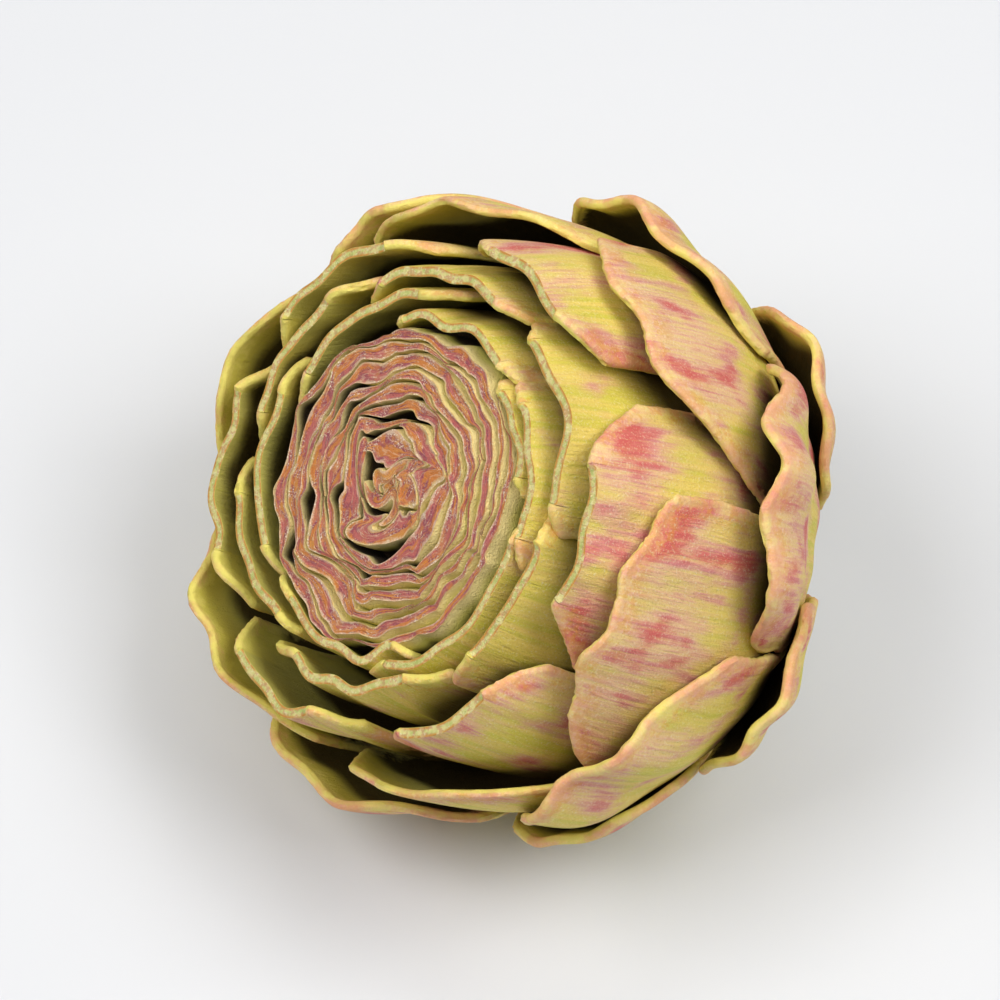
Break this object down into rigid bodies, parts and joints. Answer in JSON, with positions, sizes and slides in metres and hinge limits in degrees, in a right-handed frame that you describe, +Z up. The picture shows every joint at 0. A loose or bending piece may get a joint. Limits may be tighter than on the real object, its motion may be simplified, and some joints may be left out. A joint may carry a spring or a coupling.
{
  "type": "artichoke",
  "caption": "Artichoke head with its top sliced off flat, leaning to one side on its outer leaves and short stem.",
  "frame": {"origin": "centre of the object's box, at the surface it rests on", "axes": "+Z up from the surface; the head's axis leans 45 degrees from +Z towards -X and slightly -Y, and the camera of the picture looks along +Y and down"},
  "size_m": [0.108, 0.1101, 0.1017],
  "materials": {
    "cut_leaf": "matt yellow-green leaf flesh with a pale cut edge",
    "blushed_leaf": "matt yellow-green leaf back with rose blotches and fine streaks",
    "bud": "moist cut leaf sections in orange and rose with pale outlines",
    "stem": "matt ribbed green stem with a pale cut end"
  },
  "bodies": {
    "root": {"base_leaf_1": "blushed_leaf", "base_leaf_2": "blushed_leaf", "base_leaf_3": "blushed_leaf", "base_leaf_4": "blushed_leaf", "base_leaf_5": "blushed_leaf", "base_leaf_6": "blushed_leaf", "base_leaf_7": "blushed_leaf", "bud_of_inner_leaves": "bud", "inner_cut_leaf_1": "cut_leaf", "inner_cut_leaf_2": "cut_leaf", "inner_cut_leaf_3": "cut_leaf", "inner_cut_leaf_4": "cut_leaf", "inner_cut_leaf_5": "cut_leaf", "middle_cut_leaf_1": "cut_leaf", "middle_cut_leaf_2": "cut_leaf", "middle_cut_leaf_3": "cut_leaf", "middle_cut_leaf_4": "cut_leaf", "middle_cut_leaf_5": "cut_leaf", "middle_cut_leaf_6": "cut_leaf", "middle_cut_leaf_7": "cut_leaf", "middle_cut_leaf_8": "cut_leaf", "outer_cut_leaf_1": "cut_leaf", "outer_cut_leaf_2": "cut_leaf", "outer_cut_leaf_3": "cut_leaf", "outer_cut_leaf_4": "cut_leaf", "outer_cut_leaf_5": "cut_leaf", "outer_cut_leaf_6": "cut_leaf", "receptacle_and_stem": "stem", "shoulder_leaf_1": "blushed_leaf", "shoulder_leaf_2": "blushed_leaf", "shoulder_leaf_3": "blushed_leaf", "shoulder_leaf_4": "blushed_leaf", "shoulder_leaf_5": "blushed_leaf", "shoulder_leaf_6": "blushed_leaf", "side_leaf_1": "blushed_leaf", "side_leaf_2": "blushed_leaf", "side_leaf_3": "blushed_leaf", "side_leaf_4": "blushed_leaf", "side_leaf_5": "blushed_leaf", "side_leaf_6": "blushed_leaf"}
  },
  "joints": []
}
